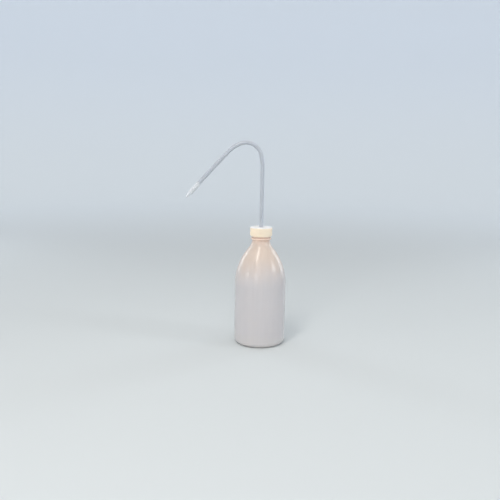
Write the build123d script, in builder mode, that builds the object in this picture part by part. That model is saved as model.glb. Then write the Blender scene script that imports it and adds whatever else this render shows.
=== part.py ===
from build123d import *
from math import cos, radians, sin, sqrt
import os

# Half-litre laboratory wash bottle: blown bottle, screw cap, seal insert, bent spout tube and jet.
# Millimetres, +Z up. The origin is on the floor, at the centre of the standing ring.
# The spout points to -X, and its bend lies in the plane Y = 0.

# Bottle body
body_diameter = 76.0
body_height = 89.5  # floor to the start of the shoulder
heel_radius = 7.2
wall = 1.2
base_wall = 1.6
base_rise = 2.6  # the concave base stands this far off the floor at its middle
standing_ring_width = 1.3
pinch_length = 42.0  # line that the two halves of the mould leave across the base
pinch_width = 1.2
pinch_height = 0.5

# Shoulder and neck
shoulder_radius = 86.0
neck_blend_radius = 19.7
neck_diameter = 25.8
neck_bore = 22.0
neck_height = 14.7  # end of the blend to the lip
lip_rounding = 0.5
neck_ring_reach = 2.35  # the bead stands out from the neck by this much
neck_ring_height = 2.7
neck_ring_rounding = 0.95
neck_ring_drop = 0.5  # the bead covers the end of the blend by this much
root_depth = 0.4  # bead and threads are rooted this deep in their walls

# Screw thread, on the neck and in the cap
thread_pitch = 3.0
thread_depth = 1.1
thread_root_width = 2.0
thread_crest_width = 0.8
thread_ring_distance = 2.0  # bead to the middle of the ridge's first turn
thread_lip_distance = 2.8  # middle of the ridge's last turn to the lip
thread_start_angle = 90.0  # the thread begins at the back
thread_crest_gap = 0.3
thread_root_gap = 0.4
cap_thread_crest_width = 0.6

# Screw cap
cap_wall = 1.7
cap_top_wall = 1.8
cap_above_ring = 2.4  # gap that shows the neck under the skirt
cap_edge_rounding = 1.0
rib_count = 60
rib_width = 0.95
rib_tip_width = 0.45
rib_depth = 0.4
rib_band_below = 0.9
rib_band_above = 1.3
tube_hole_clearance = 0.3
snap_bead_catch = 0.3  # how far the bead reaches under the insert's flange
snap_bead_height = 0.9
snap_bead_clearance = 0.15

# Seal insert
flange_clearance = 0.7
flange_thickness = 1.5
plug_depth = 9.0
plug_wall = 1.2
plug_taper = 0.5  # how much smaller the plug's radius is at its lower end
plug_clearance = 0.1
sleeve_length = 17.0
sleeve_wall = 1.55
tube_running_clearance = 0.05

# Spout tube
tube_diameter = 6.0
tube_bore = 4.0
tube_floor_gap = 3.0
stem_above_cap = 86.5  # cap to the first of four bends that run into each other
lean_radius = 78.0
lean_angle = 14.0
crook_radius = 22.5
crook_angle = 96.8
fall_radius = 48.5
fall_angle = 25.5
sag_radius = 1740.0
sag_angle = 2.05
jet_seat_length = 18.0  # straight end of the tube, inside the jet

# Jet
jet_wall = 0.45
jet_clearance = 0.02
jet_stop_gap = 0.1
jet_shoulder = 1.2
jet_shoulder_rounding = 12.0
jet_cone_length = 8.5
jet_throat_diameter = 4.4
jet_tip_diameter = 2.7
jet_tip_rounding = 0.3
jet_orifice = 1.2
jet_land_length = 1.5  # straight end of the orifice

body_radius = body_diameter / 2
neck_radius = neck_diameter / 2
bore_radius = neck_bore / 2
tube_radius = tube_diameter / 2
shoulder_centre_x = body_radius - shoulder_radius


def neck_blend(arc_radius, blend_radius, end_radius):
    """Height where the concave blend becomes upright, and its tangent point on the shoulder arc."""
    reach = arc_radius + blend_radius
    across = end_radius + blend_radius - shoulder_centre_x
    rise = sqrt(reach**2 - across**2)
    share = arc_radius / reach
    meet = (shoulder_centre_x + across * share, body_height + rise * share)
    return body_height + rise, meet


neck_start, outer_meet = neck_blend(shoulder_radius, neck_blend_radius, neck_radius)
bore_start, inner_meet = neck_blend(shoulder_radius - wall, neck_blend_radius + wall, bore_radius)
lip = neck_start + neck_height
ring_bottom = neck_start - neck_ring_drop
ring_top = ring_bottom + neck_ring_height

cap_bottom = ring_top + cap_above_ring
flange_top = lip + flange_thickness
cap_top = flange_top + cap_top_wall
cap_bore_radius = neck_radius + thread_depth + thread_crest_gap
cap_radius = cap_bore_radius + cap_wall

thread_start = ring_top + thread_ring_distance
neck_thread_turns = (lip - thread_lip_distance - thread_start) / thread_pitch
cap_thread_turns = neck_thread_turns - 1
flank_run = (thread_root_width - thread_crest_width) / thread_depth
thread_plane = Plane.XY.rotated((0, 0, thread_start_angle))
thread_outward = Vector(cos(radians(thread_start_angle)), sin(radians(thread_start_angle)), 0)


def helix_path(radius, start, turns):
    """Helix about +Z that begins on the thread's start angle."""
    with BuildLine(thread_plane) as path:
        Helix(thread_pitch, turns * thread_pitch, radius, center=(0, 0, start))
    return path.line


def ridge_section(path, depth, crest_width):
    """Trapezoid across the helix, rooted in the wall. A negative depth points at the axis."""
    foot = root_depth if depth < 0 else -root_depth
    root_width = crest_width + flank_run * abs(depth)
    with BuildSketch(Plane(path @ 0, x_dir=thread_outward, z_dir=path % 0)) as section:
        Polygon(
            (foot, -root_width / 2),
            (0, -root_width / 2),
            (depth, -crest_width / 2),
            (depth, crest_width / 2),
            (0, root_width / 2),
            (foot, root_width / 2),
            align=None,
        )
    return section.sketch


inner_radius = body_radius - wall
inner_heel = heel_radius - wall
ring_outside = body_radius - heel_radius
ring_inside = ring_outside - standing_ring_width

with BuildPart() as bottle:
    with BuildSketch(Plane.XZ):
        with BuildLine():
            TangentArc((0, base_rise), (ring_inside, 0), tangent=(1, 0))
            Line((ring_inside, 0), (ring_outside, 0))
            TangentArc((ring_outside, 0), (body_radius, heel_radius), tangent=(1, 0))
            Line((body_radius, heel_radius), (body_radius, body_height))
            TangentArc((body_radius, body_height), outer_meet, tangent=(0, 1))
            TangentArc((neck_radius, neck_start), outer_meet, tangent=(0, -1))
            Line((neck_radius, neck_start), (neck_radius, lip - lip_rounding))
            TangentArc(
                (neck_radius, lip - lip_rounding), (neck_radius - lip_rounding, lip), tangent=(0, 1)
            )
            Line((neck_radius - lip_rounding, lip), (bore_radius, lip))
            Line((bore_radius, lip), (bore_radius, bore_start))
            TangentArc((bore_radius, bore_start), inner_meet, tangent=(0, -1))
            TangentArc((inner_radius, body_height), inner_meet, tangent=(0, 1))
            Line((inner_radius, body_height), (inner_radius, base_wall + inner_heel))
            TangentArc(
                (ring_outside, base_wall), (inner_radius, base_wall + inner_heel), tangent=(1, 0)
            )
            TangentArc((0, base_rise + base_wall), (ring_outside, base_wall), tangent=(1, 0))
            Line((0, base_rise + base_wall), (0, base_rise))
        make_face()
    revolve(axis=Axis.Z)

    # Bead round the neck
    with BuildSketch(Plane.XZ) as bead:
        with Locations((neck_radius - root_depth, ring_bottom)):
            Rectangle(neck_ring_reach + root_depth, neck_ring_height, align=(Align.MIN, Align.MIN))
        fillet(bead.vertices().group_by(Axis.X)[-1], neck_ring_rounding)
    revolve(axis=Axis.Z)

    # Pinch line across the underside
    dome_radius = (ring_inside**2 + base_rise**2) / (2 * base_rise)
    pinch_rim = base_rise - dome_radius + sqrt(dome_radius**2 - (pinch_length / 2) ** 2)
    pinch_root = base_wall / 2
    with BuildSketch(Plane.XZ):
        with BuildLine():
            underside = ThreePointArc(
                (-pinch_length / 2, pinch_rim - pinch_height),
                (0, base_rise - pinch_height),
                (pinch_length / 2, pinch_rim - pinch_height),
            )
            inside = ThreePointArc(
                (-pinch_length / 2, pinch_rim + pinch_root),
                (0, base_rise + pinch_root),
                (pinch_length / 2, pinch_rim + pinch_root),
            )
            Line(underside @ 0, inside @ 0)
            Line(underside @ 1, inside @ 1)
        make_face()
    extrude(amount=pinch_width / 2, both=True)

    neck_helix = helix_path(neck_radius, thread_start, neck_thread_turns)
    sweep(ridge_section(neck_helix, thread_depth, thread_crest_width), path=neck_helix, is_frenet=True)
bottle.part.label = "bottle"

hole_radius = tube_radius + tube_hole_clearance
flange_radius = cap_bore_radius - flange_clearance
bead_top = lip - snap_bead_clearance
bead_radius = flange_radius - snap_bead_catch

with BuildPart() as screw_cap:
    with BuildSketch(Plane.XZ) as cap_section:
        with BuildLine():
            Polyline(
                (hole_radius, flange_top),
                (cap_bore_radius, flange_top),
                (cap_bore_radius, bead_top),
                (bead_radius, bead_top - snap_bead_height / 3),
                (bead_radius, bead_top - snap_bead_height * 2 / 3),
                (cap_bore_radius, bead_top - snap_bead_height),
                (cap_bore_radius, cap_bottom),
                (cap_radius, cap_bottom),
                (cap_radius, cap_top),
                (hole_radius, cap_top),
                close=True,
            )
        make_face()
        fillet(
            cap_section.vertices().group_by(Axis.Y)[-1].sort_by(Axis.X)[-1], cap_edge_rounding
        )
    revolve(axis=Axis.Z)

    # Grip ribs
    with BuildSketch(Plane.XY.offset(cap_bottom + rib_band_below)):
        with PolarLocations(cap_radius, rib_count):
            Polygon(
                (-rib_depth, -rib_width / 2),
                (rib_depth, -rib_tip_width / 2),
                (rib_depth, rib_tip_width / 2),
                (-rib_depth, rib_width / 2),
                align=None,
            )
    extrude(amount=cap_top - rib_band_above - cap_bottom - rib_band_below)

    cap_helix = helix_path(cap_bore_radius, thread_start + thread_pitch / 2, cap_thread_turns)
    cap_thread_depth = cap_bore_radius - neck_radius - thread_root_gap
    sweep(
        ridge_section(cap_helix, -cap_thread_depth, cap_thread_crest_width),
        path=cap_helix,
        is_frenet=True,
    )
screw_cap.part.label = "screw_cap"

sleeve_bore = tube_radius + tube_running_clearance
sleeve_radius = sleeve_bore + sleeve_wall
sleeve_end = flange_top - sleeve_length
plug_radius = bore_radius - plug_clearance
plug_end_radius = plug_radius - plug_taper
plug_end = lip - plug_depth

with BuildPart() as seal_insert:
    with BuildSketch(Plane.XZ):
        with BuildLine():
            Polyline(
                (sleeve_bore, flange_top),
                (flange_radius, flange_top),
                (flange_radius, lip),
                (plug_radius, lip),
                (plug_end_radius, plug_end),
                (plug_end_radius - plug_wall, plug_end),
                (plug_radius - plug_wall, lip),
                (sleeve_radius, lip),
                (sleeve_radius, sleeve_end),
                (sleeve_bore, sleeve_end),
                close=True,
            )
        make_face()
    revolve(axis=Axis.Z)
seal_insert.part.label = "seal_insert"

# Middle line of the tube, from the bottle's floor to the jet
tube_start = base_rise + base_wall + tube_floor_gap
with BuildLine(Plane.XZ) as spout_line:
    run = Line((0, tube_start), (0, cap_top + stem_above_cap))
    run = JernArc(run @ 1, run % 1, lean_radius, lean_angle)
    run = JernArc(run @ 1, run % 1, crook_radius, crook_angle)
    run = JernArc(run @ 1, run % 1, fall_radius, fall_angle)
    run = JernArc(run @ 1, run % 1, sag_radius, sag_angle)
    Line(run @ 1, run @ 1 + (run % 1) * jet_seat_length)
tube_end = spout_line.line @ 1
tube_heading = spout_line.line % 1

with BuildPart() as spout_tube:
    with BuildSketch(Plane.XY.offset(tube_start)):
        Circle(tube_radius)
        Circle(tube_bore / 2, mode=Mode.SUBTRACT)
    sweep(path=spout_line.line)
    # The lower end is cut at half a right angle, its opening turned to the spout's side
    split(bisect_by=Plane((0, 0, tube_start + tube_radius), z_dir=(1, 0, 1)), keep=Keep.TOP)
spout_tube.part.label = "spout_tube"

jet_bore = tube_radius + jet_clearance
jet_radius = jet_bore + jet_wall
jet_cone_start = jet_stop_gap + jet_shoulder
jet_tip = jet_cone_start + jet_cone_length
jet_plane = Plane(tube_end, x_dir=(0, 1, 0), z_dir=Vector(0, 1, 0).cross(tube_heading))

with BuildPart() as jet_nozzle:
    with BuildSketch(jet_plane) as jet_section:
        with BuildLine():
            Polyline(
                (jet_bore, -jet_seat_length),
                (jet_radius, -jet_seat_length),
                (jet_radius, jet_cone_start),
                (jet_tip_diameter / 2, jet_tip),
                (jet_orifice / 2, jet_tip),
                (jet_orifice / 2, jet_tip - jet_land_length),
                (jet_throat_diameter / 2, jet_stop_gap),
                (jet_bore, jet_stop_gap),
                close=True,
            )
        make_face()
        fillet(
            jet_section.vertices().group_by(Axis.X)[-1].sort_by(Axis.Y)[-1], jet_shoulder_rounding
        )
        fillet(
            jet_section.vertices().group_by(Axis.Y)[-1].sort_by(Axis.X)[-1], jet_tip_rounding
        )
    revolve(axis=Axis(tube_end, tube_heading))
jet_nozzle.part.label = "jet_nozzle"

os.makedirs("parts", exist_ok=True)
export_step(bottle.part, "parts/bottle.step")
export_step(screw_cap.part, "parts/screw_cap.step")
export_step(seal_insert.part, "parts/seal_insert.step")
export_step(spout_tube.part, "parts/spout_tube.step")
export_step(jet_nozzle.part, "parts/jet_nozzle.step")
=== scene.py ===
import math

import bpy
import numpy as np
from mathutils import Matrix, Vector


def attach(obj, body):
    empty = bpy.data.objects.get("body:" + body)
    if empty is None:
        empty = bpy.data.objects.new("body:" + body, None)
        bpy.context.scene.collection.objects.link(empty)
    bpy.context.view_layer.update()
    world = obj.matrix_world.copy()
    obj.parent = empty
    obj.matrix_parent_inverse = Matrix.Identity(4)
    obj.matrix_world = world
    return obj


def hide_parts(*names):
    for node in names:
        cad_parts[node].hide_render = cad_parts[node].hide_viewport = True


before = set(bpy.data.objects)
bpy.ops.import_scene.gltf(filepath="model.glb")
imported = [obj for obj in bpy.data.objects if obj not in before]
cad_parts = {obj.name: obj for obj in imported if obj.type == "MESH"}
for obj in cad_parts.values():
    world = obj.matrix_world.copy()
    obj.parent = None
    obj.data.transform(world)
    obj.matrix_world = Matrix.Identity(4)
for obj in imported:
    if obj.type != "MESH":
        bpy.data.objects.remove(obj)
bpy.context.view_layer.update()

mm = 0.001  # outlines below are in millimetres, meshes in metres
print("frame loaded:", ", ".join(sorted(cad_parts)))


# Outlines, in a plane of distance from the axis and height

def run(start, end, count):
    # Straight run: the start plus an even share of the way to the end
    share = np.linspace(0.0, 1.0, count)[:, None]
    return np.array(start, dtype=float) + share * np.subtract(end, start)


def arc(centre, radius, fromAngle, toAngle, count):
    # Circle arc: the centre plus the radius times cosine and sine of an even turn, in degrees
    angle = np.radians(np.linspace(fromAngle, toAngle, count))
    return np.array(centre) + radius * np.stack((np.cos(angle), np.sin(angle)), axis=1)


def join(*runs):
    # Runs end to end; a point that two runs share is kept once
    points = np.concatenate(runs)
    step = np.linalg.norm(np.diff(points, axis=0), axis=1)
    return points[np.append(True, step > 1e-6)]


def soften(value):
    # Smooth step: three times the square less twice the cube of a value held between 0 and 1
    value = np.clip(value, 0.0, 1.0)
    return value * value * (3.0 - 2.0 * value)


def aroundAxis(radius, height, angles):
    # Surface of revolution: x and y are the radius times cosine and sine of the angle, z the height
    radius = radius + 0.0 * angles
    return np.stack((radius * np.cos(angles), radius * np.sin(angles), height + 0.0 * radius), axis=-1)


def skin(name, rings, startPole=None, endPole=None, loop=False):
    # rings[i, j] is point j round the axis on step i of the outline. Quads join neighbours, a pole
    # closes an end with a fan of triangles, and loop joins the last ring to the first.
    rows, columns = rings.shape[:2]
    here = np.arange(rows * columns).reshape(rows, columns)
    beside = np.roll(here, -1, axis=1)
    quads = np.stack((here, beside, np.roll(beside, -1, axis=0), np.roll(here, -1, axis=0)), axis=-1)
    quads = (quads if loop else quads[:-1]).reshape(-1, 4)
    points, corners, sizes = [rings.reshape(-1, 3)], [quads.ravel()], [np.full(len(quads), 4)]
    pole = np.full(columns, rows * columns)
    if startPole is not None:
        points.append([startPole])
        corners.append(np.stack((pole, beside[0], here[0]), axis=-1).ravel())
        sizes.append(np.full(columns, 3))
        pole = pole + 1
    if endPole is not None:
        points.append([endPole])
        corners.append(np.stack((here[-1], beside[-1], pole), axis=-1).ravel())
        sizes.append(np.full(columns, 3))
    points, corners, sizes = (np.concatenate(part) for part in (points, corners, sizes))
    mesh = bpy.data.meshes.new(name)
    mesh.vertices.add(len(points))
    mesh.vertices.foreach_set("co", (points * mm).ravel())
    mesh.loops.add(len(corners))
    mesh.loops.foreach_set("vertex_index", corners)
    mesh.polygons.add(len(sizes))
    mesh.polygons.foreach_set("loop_start", np.append(0, np.cumsum(sizes)[:-1]))
    mesh.polygons.foreach_set("use_smooth", np.ones(len(sizes), dtype=bool))
    mesh.update(calc_edges=True)
    mesh.validate()
    piece = bpy.data.objects.new(name, mesh)
    bpy.context.scene.collection.objects.link(piece)
    return piece


def alongPath(path, heading, radius, angles):
    # Tube: each ring stands square to the path. Its points are the path's point plus the radius
    # times cosine along the in-plane normal and sine along Y. heading is the path's turn from +X.
    normal = np.stack((np.sin(heading), 0.0 * heading, -np.cos(heading)), axis=1)[:, None]
    side = np.array((0.0, 1.0, 0.0))
    cosine, sine = np.cos(angles)[None, :, None], np.sin(angles)[None, :, None]
    inPlane, across = (np.broadcast_to(value, heading.shape)[:, None, None] for value in radius)
    return path[:, None] + inPlane * cosine * normal + across * sine * side


def keepStraight(piece, coordinates):
    # The unbent place of every point, for patterns that follow the tube
    layer = piece.data.attributes.new("unbent", "FLOAT_VECTOR", "POINT")
    layer.data.foreach_set("vector", (coordinates.reshape(-1, 3) * mm).ravel())


# Finishes

def srgb(red, green, blue):
    # Screen values of 0 to 255 as the shader's linear colour
    value = np.array((red, green, blue)) / 255.0
    value = np.where(value <= 0.04045, value / 12.92, ((value + 0.055) / 1.055) ** 2.4)
    return (*value, 1.0)


def startFinish(name, look):
    # New material; look sets the shader's own sockets
    material = bpy.data.materials.new(name)
    material.use_nodes = True
    shader = material.node_tree.nodes["Principled BSDF"]
    for socket, value in look.items():
        shader.inputs[socket].default_value = value
    return material, shader


def addNode(material, kind, inputs=(), **settings):
    # inputs gives each socket a value, or the socket that feeds it
    node = material.node_tree.nodes.new(kind)
    for setting, value in settings.items():
        setattr(node, setting, value)
    for socket, value in dict(inputs).items():
        if isinstance(value, bpy.types.NodeSocket):
            material.node_tree.links.new(value, node.inputs[socket])
        else:
            node.inputs[socket].default_value = value
    return node


def place(material, scale=(1.0, 1.0, 1.0), attribute=None):
    # Object coordinates, or the piece's unbent ones, stretched by scale
    if attribute:
        source = addNode(material, "ShaderNodeAttribute", attribute_name=attribute).outputs["Vector"]
    else:
        source = addNode(material, "ShaderNodeTexCoord").outputs["Object"]
    return addNode(material, "ShaderNodeMapping", {"Vector": source, "Scale": scale}).outputs["Vector"]


def noise(material, vector, scale, detail, roughness=0.5):
    # Cloudy pattern between 0 and 1: scale sets how fine it is, detail how many finer layers it has
    inputs = {"Vector": vector, "Scale": scale, "Detail": detail, "Roughness": roughness}
    return addNode(material, "ShaderNodeTexNoise", inputs).outputs["Fac"]


def remap(material, value, low, high, toLow, toHigh):
    # Smooth step: toLow up to low, toHigh from high on
    inputs = {"Value": value, "From Min": low, "From Max": high, "To Min": toLow, "To Max": toHigh}
    node = addNode(material, "ShaderNodeMapRange", inputs, interpolation_type="SMOOTHSTEP")
    return node.outputs["Result"]


def evenOut(material, pattern, low, high):
    # A noise lies mostly between 0.3 and 0.7; this spreads it over low to high
    return remap(material, pattern, 0.3, 0.7, low, high)


def blendColours(material, share, first, second, mode="MIX"):
    # Sockets 0, 6 and 7 are the share and the two colours; output 2 is the colour
    return addNode(
        material, "ShaderNodeMix", {0: share, 6: first, 7: second}, data_type="RGBA", blend_type=mode
    ).outputs[2]


def mottle(material, colour, pattern, darkest):
    # The colour times a noise that runs from darkest to 1
    return blendColours(material, 1.0, colour, evenOut(material, pattern, darkest, 1.0), mode="MULTIPLY")


def relief(material, shader, *layers):
    # Bumps one over the other; each layer is a height, its depth in metres and its strength
    normal = None
    for height, depth, strength in layers:
        inputs = {"Height": height, "Distance": depth, "Strength": strength}
        if normal is not None:
            inputs["Normal"] = normal
        normal = addNode(material, "ShaderNodeBump", inputs).outputs["Normal"]
    material.node_tree.links.new(normal, shader.inputs["Normal"])


def feed(material, shader, socket, source):
    material.node_tree.links.new(source, shader.inputs[socket])


# Camera

cameraView = {
    "place": (-16.16, -908.88, 303.95),
    "pitch": 10.179,  # degrees below the horizon
    "roll": 0.961,
    "focalLength": 620.03,  # in pixels of a picture 500 pixels wide
    "pictureWidth": 500.0,
    "sensorWidth": 36.0,
    "nearest": 0.02, "farthest": 30.0,  # in metres
}
cameraData = bpy.data.cameras.new("camera")
cameraData.sensor_width = cameraView["sensorWidth"]
cameraData.lens = cameraView["focalLength"] / cameraView["pictureWidth"] * cameraView["sensorWidth"]
cameraData.clip_start = cameraView["nearest"]
cameraData.clip_end = cameraView["farthest"]
camera = bpy.data.objects.new("camera", cameraData)
camera.matrix_world = (
    Matrix.Translation([value * mm for value in cameraView["place"]])
    @ Matrix.Rotation(math.radians(90.0 - cameraView["pitch"]), 4, "X")
    @ Matrix.Rotation(math.radians(cameraView["roll"]), 4, "Z")
)
bpy.context.scene.collection.objects.link(camera)
bpy.context.scene.camera = camera
print("camera placed")


# Bottle: blown shell with a thread, a bead, a mould seam and a pinch line

bottleShape = {
    "bodyRadius": 38.0, "bodyHeight": 89.5, "heelRadius": 7.2, "wall": 1.2,
    "baseWall": 1.6, "baseRise": 2.6, "standingRing": 1.3,
    "shoulderRadius": 86.0, "blendRadius": 19.7,
    "neckRadius": 12.9, "boreRadius": 11.0, "neckHeight": 14.7, "lipRounding": 0.5, "boreRounding": 0.25,
    "beadReach": 2.35, "beadHeight": 2.7, "beadRounding": 0.95, "beadDrop": 0.5, "beadRoot": 0.3,
    "threadPitch": 3.0, "threadDepth": 1.1, "threadRoot": 2.0, "threadCrest": 0.8,
    "threadAboveBead": 2.0, "threadBelowLip": 2.8, "threadFade": 0.12,  # fade in turns at each end
    "seamHeight": 0.14, "seamWidth": 0.32, "seamRise": 3.0,  # it grows out of the base over seamRise
    "pinchLength": 42.0, "pinchWidth": 1.2, "pinchHeight": 0.5, "pinchFlank": 0.35, "pinchEnd": 0.8,
    "waver": 0.1,  # how far a blown wall wanders from its true round
    # Count, phase, climb and share of each wave; the waver starts and ends softly between two heights
    "waves": ((2, 0.6, 38.0, 1.0), (3, -1.1, -23.0, 0.6), (5, 2.0, 15.0, 0.35)),
    "waverFrom": 6.0, "waverRise": 14.0, "waverTo": 150.0, "waverFall": 30.0,
    # Even columns of faces, and closer ones beside a seam, in degrees; none of the even ones is
    # nearer to a seam than seamRoom
    "columns": 180, "seamColumns": (0.0, 0.22, 0.4, 0.62, 0.9, 1.3), "seamRoom": 1.6,
    "poleRing": 0.6,  # radius of the ring round the middle of the base
}


def neckBlend(shape, inset):
    # The blend arc touches the shoulder arc from outside: the centres lie the two radii apart
    centreX = shape["bodyRadius"] - shape["shoulderRadius"]
    shoulder, blend = shape["shoulderRadius"] - inset, shape["blendRadius"] + inset
    end = shape["neckRadius"] if inset == 0 else shape["boreRadius"]
    across = end + blend - centreX
    rise = math.sqrt((shoulder + blend) ** 2 - across**2)
    return shape["bodyHeight"] + rise, math.degrees(math.atan2(rise, across)), (end + blend, blend)


neckStart, shoulderTurn, outerBlend = neckBlend(bottleShape, 0.0)
boreStart, innerTurn, innerBlend = neckBlend(bottleShape, bottleShape["wall"])
lipHeight = neckStart + bottleShape["neckHeight"]
beadBottom = neckStart - bottleShape["beadDrop"]
beadTop = beadBottom + bottleShape["beadHeight"]
threadStart = beadTop + bottleShape["threadAboveBead"]
threadTurns = (lipHeight - bottleShape["threadBelowLip"] - threadStart) / bottleShape["threadPitch"]


def dome(rise, rim, radii, drop):
    # Shallow dome: a circle through the middle and the rim, level in the middle
    ball = (rim**2 + rise**2) / (2.0 * rise)
    return np.stack((radii, drop + rise - ball + np.sqrt(ball**2 - radii**2)), axis=1)


def screwRidge(angles, height, start, turns, pitch, depth, rootWidth, crestWidth, fade):
    # Right-hand ridge: it climbs one pitch each turn from +Y. The nearest turn gives the distance
    # from the ridge's middle, and the depth falls off along its flanks and at both ends.
    firstTurn = np.mod(angles - math.pi / 2, 2 * math.pi) / (2 * math.pi)
    climb = (height - start) / pitch
    turn = firstTurn + np.clip(np.round(climb - firstTurn), 0, None)
    turn = np.where(turn > turns, turn - np.ceil(turn - turns), turn)
    away = np.abs(climb - turn) * pitch
    flank = soften((rootWidth / 2 - away) / ((rootWidth - crestWidth) / 2))
    ends = soften(turn / fade) * soften((turns - turn) / fade)
    return depth * flank * ends * (turn >= 0)


def buildBottle(shape):
    # Two profiles turned round the axis: the outside from the base up, the inside back down. Each point
    # of the outside is pushed square to it, by waver plus seams plus pinch line plus thread.
    ringOutside = shape["bodyRadius"] - shape["heelRadius"]
    ringInside = ringOutside - shape["standingRing"]
    centreX = shape["bodyRadius"] - shape["shoulderRadius"]
    neck, bead, root = shape["neckRadius"], shape["beadRounding"], shape["beadRoot"]
    beadRim = neck + shape["beadReach"]
    (blendX, blendRadius), lip, bore = outerBlend, shape["lipRounding"], shape["boreRounding"]
    beadStart = math.degrees(math.asin((shape["beadDrop"] + root) / blendRadius))
    outside = join(
        dome(shape["baseRise"], ringInside, np.linspace(shape["poleRing"], ringInside, 22), 0.0),
        run((ringInside, 0), (ringOutside, 0), 3),
        arc((ringOutside, shape["heelRadius"]), shape["heelRadius"], -90, 0, 14),
        run((shape["bodyRadius"], shape["heelRadius"]), (shape["bodyRadius"], shape["bodyHeight"]), 28),
        arc((centreX, shape["bodyHeight"]), shape["shoulderRadius"], 0, shoulderTurn, 44),
        arc((blendX, neckStart), blendRadius, 180 + shoulderTurn, 180 + beadStart, 18),
        arc((neck + root, beadBottom - root), root, 180, 90, 5),
        run((neck + root, beadBottom), (beadRim - bead, beadBottom), 3),
        arc((beadRim - bead, beadBottom + bead), bead, -90, 0, 8),
        arc((beadRim - bead, beadTop - bead), bead, 0, 90, 8),
        run((beadRim - bead, beadTop), (neck + root, beadTop), 3),
        arc((neck + root, beadTop + root), root, 270, 180, 5),
        run((neck, beadTop + root), (neck, lipHeight - lip), 92),
        arc((neck - lip, lipHeight - lip), lip, 0, 90, 6),
        run((neck - lip, lipHeight), (shape["boreRadius"] + bore, lipHeight), 3),
    )
    innerBody = shape["bodyRadius"] - shape["wall"]
    innerHeel = shape["heelRadius"] - shape["wall"]
    floorLine = shape["baseWall"]
    inside = join(
        arc((shape["boreRadius"] + bore, lipHeight - bore), bore, 90, 180, 4),
        run((shape["boreRadius"], lipHeight - bore), (shape["boreRadius"], boreStart), 12),
        arc((innerBlend[0], boreStart), innerBlend[1], 180, 180 + innerTurn, 14),
        arc((centreX, shape["bodyHeight"]), shape["shoulderRadius"] - shape["wall"], innerTurn, 0, 34),
        run((innerBody, shape["bodyHeight"]), (innerBody, floorLine + innerHeel), 12),
        arc((ringOutside, floorLine + innerHeel), innerHeel, 0, -90, 10),
        dome(shape["baseRise"], ringOutside, np.linspace(ringOutside, shape["poleRing"], 12), floorLine),
    )

    # Even columns, with closer ones at the two seams
    even = np.linspace(0.0, 360.0, shape["columns"], endpoint=False)
    even = even[np.abs(np.mod(even + 90.0, 180.0) - 90.0) > shape["seamRoom"]]
    close = np.array(shape["seamColumns"])
    close = np.concatenate((-close[:0:-1], close))
    angles = np.radians(np.sort(np.mod(np.concatenate((even, close, close + 180.0)), 360.0)))[None, :]

    radius, height = outside[:, 0, None], outside[:, 1, None]
    slope = np.gradient(outside, axis=0)
    slope /= np.linalg.norm(slope, axis=1)[:, None]
    outRadius, outHeight = slope[:, 1, None], -slope[:, 0, None]

    # Blown wall: three slow waves round and up the body, still at the base and the neck. A wave is its
    # share of the sine of the count times the angle, plus the phase, plus the height over the climb.
    calm = soften((height - shape["waverFrom"]) / shape["waverRise"])
    calm = calm * soften((shape["waverTo"] - height) / shape["waverFall"])
    waves, most = 0.0, 0.0
    for count, phase, climb, share in shape["waves"]:
        waves = waves + share * np.sin(count * angles + phase + height / climb)
        most += share
    push = shape["waver"] * calm * waves / most

    # Mould seam: a narrow hump up both sides, in the plane of the spout
    fromSeam = np.abs(np.mod(angles + math.pi / 2, math.pi) - math.pi / 2) * radius
    hump = np.exp(-((fromSeam / shape["seamWidth"]) ** 2)) * soften(height / shape["seamRise"])
    push = push + shape["seamHeight"] * hump

    # Pinch line: a low bar across the underside, as wide as the mould's edge
    x, y = radius * np.cos(angles), radius * np.sin(angles)
    under = (outRadius < 0.2) & (outHeight < 0) & (height > 0.2)  # the domed underside, not its ring
    bar = soften((shape["pinchWidth"] / 2 - np.abs(y)) / shape["pinchFlank"])
    bar = bar * soften((shape["pinchLength"] / 2 - np.abs(x)) / shape["pinchEnd"])
    push = push + np.where(under, shape["pinchHeight"] * bar, 0.0)

    thread = screwRidge(
        angles, height, threadStart, threadTurns, shape["threadPitch"], shape["threadDepth"],
        shape["threadRoot"], shape["threadCrest"], shape["threadFade"],
    )
    push = push + np.where((height > beadTop + root) & (height < lipHeight - lip), thread, 0.0)
    outer = aroundAxis(radius + push * outRadius, height + push * outHeight, angles)
    inner = aroundAxis(inside[:, 0, None], inside[:, 1, None], angles)
    return skin(
        "bottleShell",
        np.concatenate((outer, inner)),
        startPole=(0.0, 0.0, shape["baseRise"] - shape["pinchHeight"]),
        endPole=(0.0, 0.0, shape["baseRise"] + floorLine),
    )


bottle = buildBottle(bottleShape)
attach(bottle, "bottle")
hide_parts("bottle")
print("bottle built:", len(bottle.data.polygons), "faces")


# Screw cap: ribbed skirt, round hole, inside thread and snap bead

capShape = {
    "skirtGap": 2.4, "boreRadius": 14.3, "wall": 1.7, "topWall": 1.8, "flange": 1.5,
    "edgeRounding": 1.0, "lowerRounding": 0.35, "holeRadius": 3.3, "holeRounding": 0.3,
    "ribs": 60, "ribDepth": 0.4, "ribFoot": 1.35, "ribCrown": 0.55,  # foot and crown in degrees
    "ribBandBelow": 0.9, "ribBandAbove": 1.3, "ribEnd": 0.55,
    "beadReach": 1.0, "beadBelowLip": 0.15, "beadHeight": 0.9,
    "threadDepth": 1.0, "threadCrest": 0.6, "threadFade": 0.12,
    "threadAboveEdge": 0.05, "threadBelowBead": 0.2,  # bare wall at the thread's two ends
    "dishDepth": 0.12, "dishRadius": 12.6,  # shallow moulded step in the top
    "dishFlank": 0.1, "dishEase": 0.3, "dishRounding": 0.02, "cornerCut": 0.1,
    "ribColumns": (0.0, 0.6, 0.98, 1.32, 1.9),  # degrees to both sides of a rib's middle
}
capBottom = beadTop + capShape["skirtGap"]
capCeiling = lipHeight + capShape["flange"]
capTop = capCeiling + capShape["topWall"]


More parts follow.
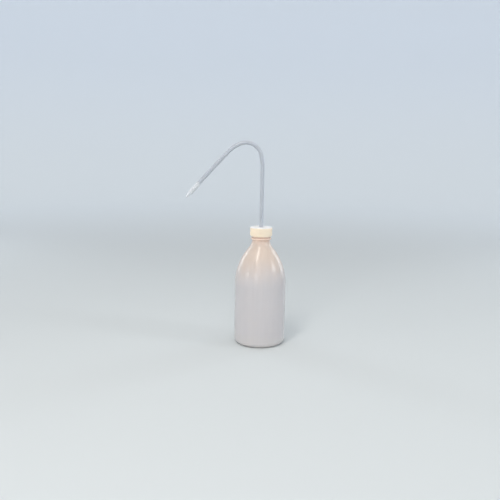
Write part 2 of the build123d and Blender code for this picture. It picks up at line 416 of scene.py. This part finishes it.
def buildCap(shape, bottleSizes):
    # One closed profile turned round the axis: up the skirt, over the top, down the hole and the inside.
    # The ribs add to the skirt's radius, and the thread takes from the bore's. The snap bead slopes in,
    # runs straight and slopes out, each over a third of its height.
    bore, low, edge = shape["boreRadius"], shape["lowerRounding"], shape["edgeRounding"]
    rim, holeRadius, hole = bore + shape["wall"], shape["holeRadius"], shape["holeRounding"]
    catchTop = lipHeight - shape["beadBelowLip"]
    catchStep = shape["beadHeight"] / 3.0
    catchEnd = catchTop - 3 * catchStep
    catch = bore - shape["beadReach"]
    bandLow, bandHigh = capBottom + shape["ribBandBelow"], capTop - shape["ribBandAbove"]
    bandEnd = shape["ribEnd"]
    dish, dishFloor, flank = shape["dishRadius"], capTop - shape["dishDepth"], shape["dishFlank"]
    ease, soft, cut = shape["dishEase"], shape["dishRounding"], shape["cornerCut"]
    outside = join(
        arc((bore + low, capBottom + low), low, 180, 270, 4),
        run((bore + low, capBottom), (rim - low, capBottom), 3),
        arc((rim - low, capBottom + low), low, -90, 0, 5),
        run((rim, capBottom + low), (rim, bandLow), 2),
        run((rim, bandLow), (rim, bandLow + bandEnd), 6),
        run((rim, bandLow + bandEnd), (rim, bandHigh - bandEnd), 5),
        run((rim, bandHigh - bandEnd), (rim, bandHigh), 6),
        arc((rim - edge, capTop - edge), edge, 0, 90, 9),
        run((rim - edge, capTop), (dish + ease, capTop), 3),
        run((dish + flank, capTop - soft), (dish - flank, dishFloor + soft), 3),
        run((dish - ease, dishFloor), (holeRadius + hole, dishFloor), 8),
        arc((holeRadius + hole, dishFloor - hole), hole, 90, 180, 5),
        run((holeRadius, dishFloor - hole), (holeRadius, capCeiling + cut), 3),
        run((holeRadius + cut, capCeiling), (bore - cut, capCeiling), 4),
        run((bore, capCeiling - cut), (bore, catchTop), 3),
        run((bore, catchTop), (catch, catchTop - catchStep), 4),
        run((catch, catchTop - catchStep), (catch, catchTop - 2 * catchStep), 3),
        run((catch, catchTop - 2 * catchStep), (bore, catchEnd), 4),
        run((bore, catchEnd), (bore, capBottom + low), 56),
    )
    pitch = 360.0 / shape["ribs"]
    beside = np.array(shape["ribColumns"])
    beside = np.concatenate(((-pitch / 2,), -beside[:0:-1], beside))
    degrees = (np.arange(shape["ribs"])[:, None] * pitch + beside).ravel()
    angles = np.radians(np.sort(np.mod(degrees, 360.0)))[None, :]
    radius, height = outside[:, 0, None], outside[:, 1, None]

    # Grip ribs: equal humps round the skirt that sink into it at both ends
    fromRib = np.abs(np.mod(np.degrees(angles) + pitch / 2, pitch) - pitch / 2)
    hump = soften((shape["ribFoot"] - fromRib) / (shape["ribFoot"] - shape["ribCrown"]))
    band = soften((height - bandLow) / bandEnd) * soften((bandHigh - height) / bandEnd)
    ribs = shape["ribDepth"] * hump * band * (radius > rim - 1e-6)

    # The cap's thread runs midway between the neck's turns and is one turn shorter
    threadPitch = bottleSizes["threadPitch"]
    slope = (bottleSizes["threadRoot"] - bottleSizes["threadCrest"]) / bottleSizes["threadDepth"]
    thread = screwRidge(
        angles, height, threadStart + threadPitch / 2, threadTurns - 1.0, threadPitch, shape["threadDepth"],
        shape["threadCrest"] + slope * shape["threadDepth"], shape["threadCrest"], shape["threadFade"],
    )
    threadLow, threadHigh = capBottom + low + shape["threadAboveEdge"], catchEnd - shape["threadBelowBead"]
    threaded = (np.abs(radius - bore) < 1e-6) & (height > threadLow) & (height < threadHigh)
    return skin("screwCapShell", aroundAxis(radius + ribs - thread * threaded, height, angles), loop=True)


cap = buildCap(capShape, bottleShape)
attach(cap, "cap")
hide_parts("screw_cap")
print("cap built:", len(cap.data.polygons), "faces")


# Seal insert: flange, plug and sleeve, in one soft moulding

insertShape = {
    "sleeveBore": 3.05, "sleeveRadius": 4.6, "sleeveLength": 17.0,
    "plugRadius": 10.9, "plugTaper": 0.5, "plugWall": 1.2, "plugDepth": 9.0,
    "flangeRadius": 13.6, "edge": 0.2, "gap": 0.02,  # gap keeps it off the lip and the cap
    "lastStep": 1.0,  # height of the last row of faces in the bore
    "columns": 120,
}


def buildInsert(shape):
    # One closed profile turned round the axis: sleeve, plug, flange and back down the sleeve's bore
    edge, gap = shape["edge"], shape["gap"]
    top, under = capCeiling - gap, lipHeight + gap
    sleeveEnd, plugEnd = capCeiling - shape["sleeveLength"], lipHeight - shape["plugDepth"]
    plugLow = shape["plugRadius"] - shape["plugTaper"]
    plugInside, plugLowInside = shape["plugRadius"] - shape["plugWall"], plugLow - shape["plugWall"]
    bore = shape["sleeveBore"]
    profile = join(
        run((bore, sleeveEnd + edge), (bore + edge, sleeveEnd), 3),
        arc((shape["sleeveRadius"] - edge, sleeveEnd + edge), edge, -90, 0, 4),
        run((shape["sleeveRadius"], sleeveEnd + edge), (shape["sleeveRadius"], under - edge), 8),
        arc((shape["sleeveRadius"] + edge, under - edge), edge, 180, 90, 4),
        run((shape["sleeveRadius"] + edge, under), (plugInside, under), 4),
        run((plugInside, under), (plugLowInside, plugEnd + edge), 6),
        run((plugLowInside + edge, plugEnd), (plugLow - edge, plugEnd), 3),
        run((plugLow, plugEnd + edge), (shape["plugRadius"], under), 8),
        run((shape["plugRadius"], under), (shape["flangeRadius"] - edge, under), 3),
        arc((shape["flangeRadius"] - edge, under + edge), edge, -90, 0, 4),
        arc((shape["flangeRadius"] - edge, top - edge), edge, 0, 90, 4),
        run((shape["flangeRadius"] - edge, top), (bore + edge, top), 5),
        run((bore, top - edge), (bore, sleeveEnd + edge + shape["lastStep"]), 8),
    )
    angles = np.linspace(0.0, 2 * math.pi, shape["columns"], endpoint=False)[None, :]
    return skin("sealInsertBody", aroundAxis(profile[:, 0, None], profile[:, 1, None], angles), loop=True)


insert = buildInsert(insertShape)
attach(insert, "head")
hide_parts("seal_insert")
print("seal insert built:", len(insert.data.polygons), "faces")


# Spout tube: one bent tube with a slanted lower end

tubeShape = {
    "radius": 3.0, "bore": 2.0, "floorGap": 3.0, "stemAboveCap": 86.5, "jetSeat": 18.0,
    # The slanted end is drawn up over slantLength. The stem has two lots of rings, stemStep apart.
    "slantLength": 14.0, "stemStep": 4.0, "stemRings": (8, 60), "seatRings": 8,
    # Radius, degrees and steps of each bend
    "bends": ((78.0, 14.0, 14), (22.5, 96.8, 66), (48.5, 25.5, 22), (1740.0, 2.05, 22)),
    # How far the tight bend goes in, the share of it that bulges sideways, and where, in degrees turned
    "flattening": 0.1, "bulge": 0.7, "flatFrom": 20.0, "flatTo": 118.0, "flatEase": 30.0,
    "columns": 56,
}
tubeStart = bottleShape["baseRise"] + bottleShape["baseWall"] + tubeShape["floorGap"]


def spoutPath(shape):
    # Middle line: a straight stem, four arcs, each with its centre square to the last heading, and the
    # straight end that the jet is pushed over
    stemTop = capTop + shape["stemAboveCap"]
    slantTop = tubeStart + shape["slantLength"]
    lowRings, highRings = shape["stemRings"]
    heights = np.concatenate((
        np.linspace(tubeStart, slantTop, lowRings),
        np.linspace(slantTop + shape["stemStep"], stemTop, highRings),
    ))
    points, headings = [np.stack((0.0 * heights, heights), axis=1)], [np.full(len(heights), math.pi / 2)]
    for radius, turn, steps in shape["bends"]:
        start, heading = points[-1][-1], headings[-1][-1]
        centre = start + radius * np.array((-math.sin(heading), math.cos(heading)))
        share = np.linspace(0.0, 1.0, steps + 1)[1:]
        angle = heading + math.radians(turn) * share
        points.append(centre + radius * np.stack((np.sin(angle), -np.cos(angle)), axis=1))
        headings.append(angle)
    start, heading = points[-1][-1], headings[-1][-1]
    share = np.linspace(0.0, 1.0, shape["seatRings"] + 1)[1:, None]
    points.append(start + share * shape["jetSeat"] * np.array((math.cos(heading), math.sin(heading))))
    headings.append(np.full(shape["seatRings"], heading))
    points, headings = np.concatenate(points), np.concatenate(headings)
    return np.stack((points[:, 0], 0.0 * points[:, 0], points[:, 1]), axis=1), headings


def buildTube(shape):
    # Two rings of points carried along one path: the outer wall up to the jet, the bore back down.
    # A flattened ring loses squash from its radius in the bend's plane and gains a share across it.
    path, heading = spoutPath(shape)
    length = np.append(0.0, np.cumsum(np.linalg.norm(np.diff(path, axis=0), axis=1)))
    angles = np.linspace(0.0, 2 * math.pi, shape["columns"], endpoint=False)
    turned = np.degrees(heading) - 90.0
    squash = soften((turned - shape["flatFrom"]) / shape["flatEase"])
    squash = shape["flattening"] * squash * soften((shape["flatTo"] - turned) / shape["flatEase"])
    rings, straight = [], []
    for radius, order in ((shape["radius"], 1), (shape["bore"], -1)):
        wall = alongPath(path, heading, (radius - squash, radius + shape["bulge"] * squash), angles)
        # Slanted lower end: a point rises by its distance from the +X side, less and less up the stem
        upright = heading[:, None] < math.pi / 2 + 1e-6
        slant = np.clip(1.0 - length / shape["slantLength"], 0.0, None)[:, None]
        wall[..., 2] += np.where(upright, (shape["radius"] - wall[..., 0]) * slant, 0.0)
        rings.append(wall[::order])
        flat = np.stack((
            radius * np.cos(angles) + 0.0 * length[:, None],
            radius * np.sin(angles) + 0.0 * length[:, None],
            length[:, None] + 0.0 * angles,
        ), axis=-1)
        straight.append(flat[::order])
    tube = skin("spoutTubeBody", np.concatenate(rings), loop=True)
    keepStraight(tube, np.concatenate(straight))
    return tube, path[-1], heading[-1]


tube, tubeEnd, tubeHeading = buildTube(tubeShape)
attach(tube, "spout")
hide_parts("spout_tube")
print("spout tube built:", len(tube.data.polygons), "faces")


# Jet: thin sleeve over the tube's end, drawn to a point

jetShape = {
    "bore": 3.02, "wall": 0.45, "seat": 18.0, "stopGap": 0.1, "shoulder": 1.2, "shoulderRounding": 12.0,
    "coneLength": 8.5, "throat": 2.2, "tip": 1.35, "tipRounding": 0.3, "orifice": 0.6, "land": 1.5,
    "edge": 0.15, "orificeCut": 0.1,
    "lastStep": 0.5,  # height of the last row of faces in the bore
    "columns": 64,
}


def buildJet(shape):
    # One closed profile turned round its own axis, then laid along the tube's last heading
    outer, rounding, cut = shape["bore"] + shape["wall"], shape["shoulderRounding"], shape["orificeCut"]
    coneStart = shape["stopGap"] + shape["shoulder"]
    coneEnd = coneStart + shape["coneLength"]
    half = math.atan2(outer - shape["tip"], shape["coneLength"])
    tangent = rounding * math.tan(half / 2)
    tip, edge, bottom = shape["tipRounding"], shape["edge"], -shape["seat"]
    profile = join(
        run((shape["bore"], bottom + edge), (shape["bore"] + edge, bottom), 2),
        arc((outer - edge, bottom + edge), edge, -90, 0, 4),
        run((outer, bottom + edge), (outer, coneStart - tangent), 8),
        arc((outer - rounding, coneStart - tangent), rounding, 0, math.degrees(half), 10),
        run(
            (outer - tangent * math.sin(half), coneStart + tangent * math.cos(half)),
            (shape["tip"] + tip * math.tan(half), coneEnd - tip),
            12,
        ),
        arc((shape["tip"] - tip, coneEnd - tip), tip, math.degrees(half), 90, 5),
        run((shape["tip"] - tip, coneEnd), (shape["orifice"] + cut, coneEnd), 2),
        run((shape["orifice"], coneEnd - cut), (shape["orifice"], coneEnd - shape["land"]), 3),
        run((shape["orifice"], coneEnd - shape["land"]), (shape["throat"], shape["stopGap"]), 8),
        run((shape["throat"], shape["stopGap"]), (shape["bore"], shape["stopGap"]), 3),
        run((shape["bore"], shape["stopGap"]), (shape["bore"], bottom + edge + shape["lastStep"]), 6),
    )
    angles = np.linspace(0.0, 2 * math.pi, shape["columns"], endpoint=False)
    rings = aroundAxis(profile[:, 0, None], profile[:, 1, None], angles[None, :])
    along = np.array((math.cos(tubeHeading), 0.0, math.sin(tubeHeading)))
    normal = np.array((math.sin(tubeHeading), 0.0, -math.cos(tubeHeading)))
    side = np.array((0.0, 1.0, 0.0))
    turned = rings[..., :1] * normal + rings[..., 1:2] * side + rings[..., 2:] * along
    jet = skin("jetNozzleBody", tubeEnd + turned, loop=True)
    keepStraight(jet, rings)
    return jet


jet = buildJet(jetShape)
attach(jet, "spout")
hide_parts("jet_nozzle")
print("jet built:", len(jet.data.polygons), "faces")


# Finishes of the pieces. Lengths and heights are in metres. A noise is given by its scale and detail,
# and its roughness where that isn't 0.5, and a relief by its depth and strength. A stretch below 1
# draws a pattern out along the height, or along the tube.

bottleFinish = {
    "look": {
        "IOR": 1.51, "Subsurface Weight": 0.35, "Subsurface Scale": 0.003,
        "Subsurface Radius": (1.0, 0.92, 0.85), "Transmission Weight": 0.04,
    },
    "base": srgb(216, 211, 210), "body": srgb(214, 209, 210),
    # shoulder and neck are painted warm top light, creamier and warmer than the body's own tone
    "shoulder": srgb(225, 206, 192), "neck": srgb(247, 219, 202),
    "bodyHeights": (0.018, 0.04), "shoulderLightHeights": (0.1, 0.155), "neckLightHeights": (0.148, 0.160),
    "patches": (26.0, 3.0), "patchStretch": 0.6, "patchLift": 0.03,
    "streaks": (420.0, 2.0), "streakStretch": 0.02, "streakDarkest": 0.985, "streakRelief": (0.0001, 0.06),
    "smudges": (60.0, 5.0, 0.6), "roughness": (0.22, 0.27),
    "grain": (1500.0, 2.0), "grainRelief": (0.00003, 0.12),
}


def finishBottle(piece, finish):
    material, shader = startFinish("milkyPolyethylene", finish["look"])
    vector = place(material)
    height = addNode(material, "ShaderNodeSeparateXYZ", {"Vector": vector}).outputs["Z"]
    # The height, lifted by slow patches so that no tone ends at a level line
    patchPlace = place(material, (1.0, 1.0, finish["patchStretch"]))
    lifted = {0: noise(material, patchPlace, *finish["patches"]), 1: finish["patchLift"], 2: height}
    wander = addNode(material, "ShaderNodeMath", lifted, operation="MULTIPLY_ADD").outputs[0]
    # The body is greyest; the creamier shoulder and the warmer neck are painted warm light from above
    lower = remap(material, wander, *finish["bodyHeights"], 0.0, 1.0)
    shoulderLightShare = remap(material, wander, *finish["shoulderLightHeights"], 0.0, 1.0)
    neck = remap(material, height, *finish["neckLightHeights"], 0.0, 1.0)
    colour = blendColours(material, lower, finish["base"], finish["body"])
    # Painted warm top light: the shoulder's tone, then the neck's, laid over the body
    colour = blendColours(material, shoulderLightShare, colour, finish["shoulder"])
    colour = blendColours(material, neck, colour, finish["neck"])
    # Faint upright streaks from the drawn tube that the bottle was blown from
    streakPlace = place(material, (1.0, 1.0, finish["streakStretch"]))
    streaks = noise(material, streakPlace, *finish["streaks"])
    feed(material, shader, "Base Color", mottle(material, colour, streaks, finish["streakDarkest"]))
    smudges = noise(material, vector, *finish["smudges"])
    feed(material, shader, "Roughness", evenOut(material, smudges, *finish["roughness"]))
    grain = noise(material, vector, *finish["grain"])
    relief(material, shader, (streaks, *finish["streakRelief"]), (grain, *finish["grainRelief"]))
    piece.data.materials.append(material)


capFinish = {
    "look": {
        "IOR": 1.5, "Subsurface Weight": 0.35, "Subsurface Scale": 0.0015,
        "Subsurface Radius": (1.0, 0.85, 0.7),
    },
    # top is painted top light: the upward face drawn whiter than the skirt's own cream
    "skirt": srgb(255, 236, 214), "top": srgb(252, 249, 246),
    "topLightDepths": (0.0016, 0.0002),  # the skirt's tone turns to the top's painted top light between these depths
    "flow": (90.0, 4.0, 0.55), "flowDarkest": 0.985, "flowRelief": (0.0001, 0.06),
    "roughness": (0.28, 0.34), "grain": (1900.0, 2.0), "grainRelief": (0.00003, 0.12),
}


def finishCap(piece, finish):
    material, shader = startFinish("mouldedPolypropylene", finish["look"])
    vector = place(material)
    height = addNode(material, "ShaderNodeSeparateXYZ", {"Vector": vector}).outputs["Z"]
    # The whiter top is painted light falling on the upward face
    low, high = (capTop * mm - depth for depth in finish["topLightDepths"])
    topLightShare = remap(material, height, low, high, 0.0, 1.0)
    colour = blendColours(material, topLightShare, finish["skirt"], finish["top"])
    flow = noise(material, vector, *finish["flow"])
    feed(material, shader, "Base Color", mottle(material, colour, flow, finish["flowDarkest"]))
    feed(material, shader, "Roughness", evenOut(material, flow, *finish["roughness"]))
    grain = noise(material, vector, *finish["grain"])
    relief(material, shader, (flow, *finish["flowRelief"]), (grain, *finish["grainRelief"]))
    piece.data.materials.append(material)


insertFinish = {
    "look": {
        "IOR": 1.51, "Subsurface Weight": 0.3, "Subsurface Scale": 0.002,
        "Subsurface Radius": (1.0, 0.95, 0.9),
    },
    "dull": srgb(216, 217, 214), "bright": srgb(226, 226, 222),
    "cloud": (140.0, 3.0), "roughness": (0.36, 0.46), "grain": (1600.0, 2.0), "grainRelief": (0.00005, 0.2),
}


def finishInsert(piece, finish):
    material, shader = startFinish("naturalInsert", finish["look"])
    vector = place(material)
    cloud = noise(material, vector, *finish["cloud"])
    feed(material, shader, "Base Color", blendColours(material, cloud, finish["dull"], finish["bright"]))
    feed(material, shader, "Roughness", evenOut(material, cloud, *finish["roughness"]))
    grain = noise(material, vector, *finish["grain"])
    relief(material, shader, (grain, *finish["grainRelief"]))
    piece.data.materials.append(material)


tubeFinish = {
    "look": {
        "IOR": 1.51, "Subsurface Weight": 0.3, "Subsurface Scale": 0.0015,
        "Subsurface Radius": (0.9, 0.95, 1.0), "Transmission Weight": 0.35,
    },
    "dull": srgb(213, 218, 226), "bright": srgb(219, 223, 230),
    "lines": (1100.0, 3.0), "lineStretch": 0.01, "lineDarkest": 0.98, "lineRelief": (0.00002, 0.05),
    "cloud": (150.0, 3.0), "cloudStretch": 0.35, "roughness": (0.28, 0.31),
}


def finishTube(piece, finish):
    material, shader = startFinish("naturalTube", finish["look"])
    # Lines left by the die run the whole length of the tube and bend with it
    linePlace = place(material, (1.0, 1.0, finish["lineStretch"]), "unbent")
    lines = noise(material, linePlace, *finish["lines"])
    cloudPlace = place(material, (1.0, 1.0, finish["cloudStretch"]), "unbent")
    cloud = noise(material, cloudPlace, *finish["cloud"])
    colour = blendColours(material, cloud, finish["dull"], finish["bright"])
    feed(material, shader, "Base Color", mottle(material, colour, lines, finish["lineDarkest"]))
    feed(material, shader, "Roughness", evenOut(material, lines, *finish["roughness"]))
    relief(material, shader, (lines, *finish["lineRelief"]))
    piece.data.materials.append(material)


jetFinish = {
    "look": {
        "IOR": 1.51, "Subsurface Weight": 0.3, "Subsurface Scale": 0.0015,
        "Subsurface Radius": (0.95, 0.97, 1.0), "Transmission Weight": 0.08,
    },
    "sleeve": srgb(228, 232, 236), "tip": srgb(240, 243, 246),
    "drawnOut": (0.001, 0.008),  # from where to where the plastic whitens, past the end of the tube
    "cloud": (220.0, 3.0), "cloudDarkest": 0.965, "roughness": (0.28, 0.38),
    "draw": (1300.0, 2.0), "drawStretch": 0.03, "drawRelief": (0.00006, 0.25),
}


def finishJet(piece, finish):
    material, shader = startFinish("drawnJet", finish["look"])
    vector = place(material, attribute="unbent")
    along = addNode(material, "ShaderNodeSeparateXYZ", {"Vector": vector}).outputs["Z"]
    whitened = remap(material, along, *finish["drawnOut"], 0.0, 1.0)
    colour = blendColours(material, whitened, finish["sleeve"], finish["tip"])
    cloud = noise(material, vector, *finish["cloud"])
    feed(material, shader, "Base Color", mottle(material, colour, cloud, finish["cloudDarkest"]))
    feed(material, shader, "Roughness", evenOut(material, cloud, *finish["roughness"]))
    drawPlace = place(material, (1.0, 1.0, finish["drawStretch"]), "unbent")
    draw = noise(material, drawPlace, *finish["draw"])
    relief(material, shader, (draw, *finish["drawRelief"]))
    piece.data.materials.append(material)


finishBottle(bottle, bottleFinish)
finishCap(cap, capFinish)
finishInsert(insert, insertFinish)
finishTube(tube, tubeFinish)
finishJet(jet, jetFinish)
print("finishes made")


# Floor and backdrop: one round sweep, so that every side has the same background

stageShape = {
    "poleRing": 40.0, "floorRadius": 1900.0, "sweepRadius": 700.0, "wallHeight": 2200.0,
    "drop": 0.03, "columns": 128,  # drop keeps the floor just under the standing ring
}
stageFinish = {
    "look": {"Roughness": 0.85, "Specular IOR Level": 0.2, "Emission Color": srgb(226, 236, 248)},
    "floor": srgb(214, 218, 218), "wall": srgb(214, 221, 230), "toneHeight": 0.9,
    "glow": 0.3, "glowFrom": 0.2, "glowTo": 2.1,  # it grows between these distances from the bottle
}


def buildStage(shape):
    # One profile turned round the axis: flat floor, a quarter-circle sweep and an upright wall
    sweep, floorRadius, floorHeight = shape["sweepRadius"], shape["floorRadius"], -shape["drop"]
    profile = join(
        run((shape["poleRing"], floorHeight), (floorRadius, floorHeight), 24),
        arc((floorRadius, sweep + floorHeight), sweep, -90, 0, 24),
        run((floorRadius + sweep, sweep), (floorRadius + sweep, shape["wallHeight"]), 4),
    )[::-1]
    angles = np.linspace(0.0, 2 * math.pi, shape["columns"], endpoint=False)[None, :]
    rings = aroundAxis(profile[:, 0, None], profile[:, 1, None], angles)
    return skin("studioSweep", rings, endPole=(0.0, 0.0, floorHeight))


def finishStage(piece, finish):
    material, shader = startFinish("paleBackdrop", finish["look"])
    height = addNode(material, "ShaderNodeSeparateXYZ", {"Vector": place(material)}).outputs["Z"]
    upward = remap(material, height, 0.0, finish["toneHeight"], 0.0, 1.0)
    feed(material, shader, "Base Color", blendColours(material, upward, finish["floor"], finish["wall"]))
    # Away from the bottle the backdrop is paler to the eye, but sheds no more light
    flat = place(material, (1.0, 1.0, 0.0))
    away = addNode(material, "ShaderNodeVectorMath", {0: flat}, operation="LENGTH").outputs["Value"]
    strength = remap(material, away, finish["glowFrom"], finish["glowTo"], 0.0, finish["glow"])
    rays = addNode(material, "ShaderNodeLightPath").outputs
    glow = rays["Is Camera Ray"]
    for part, operation in (
        (rays["Is Glossy Ray"], "ADD"), (rays["Is Transmission Ray"], "ADD"), (strength, "MULTIPLY"),
    ):
        glow = addNode(material, "ShaderNodeMath", {0: glow, 1: part}, operation=operation).outputs[0]
    feed(material, shader, "Emission Strength", glow)
    piece.data.materials.append(material)


stage = buildStage(stageShape)
finishStage(stage, stageFinish)
print("floor and backdrop built")


# Soft studio light. Azimuth 0 is in front and 90 to the right; angles are in degrees, distances and
# sizes in metres. A lamp that doesn't shine lights the surfaces but isn't mirrored in them.

lamps = {
    "keyLeft": {
        "azimuth": -28, "elevation": 56, "distance": 1.35, "size": (0.22, 0.6), "power": 4.5,
        "colour": (1.0, 0.955, 0.9), "shines": True, "spread": 180,
    },
    "sideRight": {
        "azimuth": 72, "elevation": 22, "distance": 1.3, "size": (0.2, 0.3), "power": 2.4,
        "colour": (0.96, 0.98, 1.0), "shines": True, "spread": 180,
    },
    "frontLow": {
        "azimuth": -23, "elevation": 11, "distance": 1.6, "size": (0.14, 0.3), "power": 1.4,
        "colour": (1.0, 0.97, 0.94), "shines": True, "spread": 180,
    },
    "sideLeft": {
        "azimuth": -64, "elevation": 6, "distance": 1.5, "size": (0.14, 0.28), "power": 1.2,
        "colour": (1.0, 0.98, 0.96), "shines": True, "spread": 180,
    },
    "overhead": {
        "azimuth": 150, "elevation": 78, "distance": 1.6, "size": (1.3, 1.3), "power": 2.4,
        "colour": (1.0, 0.985, 0.965), "shines": True, "spread": 180,
    },
    "rimRight": {
        "azimuth": 128, "elevation": 14, "distance": 1.5, "size": (0.3, 0.9), "power": 0.4,
        "colour": (0.88, 0.94, 1.0), "shines": True, "spread": 60,
    },
    "rimLeft": {
        "azimuth": -132, "elevation": 16, "distance": 1.5, "size": (0.3, 0.9), "power": 0.4,
        "colour": (0.88, 0.94, 1.0), "shines": True, "spread": 60,
    },
    "frontFill": {
        "azimuth": -8, "elevation": 24, "distance": 1.7, "size": (1.2, 1.2), "power": 6.9,
        "colour": (1.0, 0.975, 0.95), "shines": False, "spread": 180,
    },
}
lampTarget = Vector((0.0, 0.0, 0.13))
room = {"colour": (0.96, 0.98, 1.0, 1.0), "strength": 0.64}


def addLamp(name, lamp):
    data = bpy.data.lights.new(name, "AREA")
    data.shape = "RECTANGLE"
    data.size, data.size_y = lamp["size"]
    data.energy, data.color, data.spread = lamp["power"], lamp["colour"], math.radians(lamp["spread"])
    azimuth, elevation = math.radians(lamp["azimuth"]), math.radians(lamp["elevation"])
    away = Vector((
        math.sin(azimuth) * math.cos(elevation),
        -math.cos(azimuth) * math.cos(elevation),
        math.sin(elevation),
    ))
    light = bpy.data.objects.new(name, data)
    light.location = lampTarget + away * lamp["distance"]
    light.rotation_euler = away.to_track_quat("Z", "Y").to_euler()
    light.visible_camera = False
    light.visible_glossy = lamp["shines"]
    bpy.context.scene.collection.objects.link(light)


for name, lamp in lamps.items():
    addLamp(name, lamp)
world = bpy.data.worlds.new("softRoom")
world.use_nodes = True
world.node_tree.nodes["Background"].inputs["Color"].default_value = room["colour"]
world.node_tree.nodes["Background"].inputs["Strength"].default_value = room["strength"]
bpy.context.scene.world = world
bpy.context.scene.view_settings.view_transform = "Standard"
print("lights set")
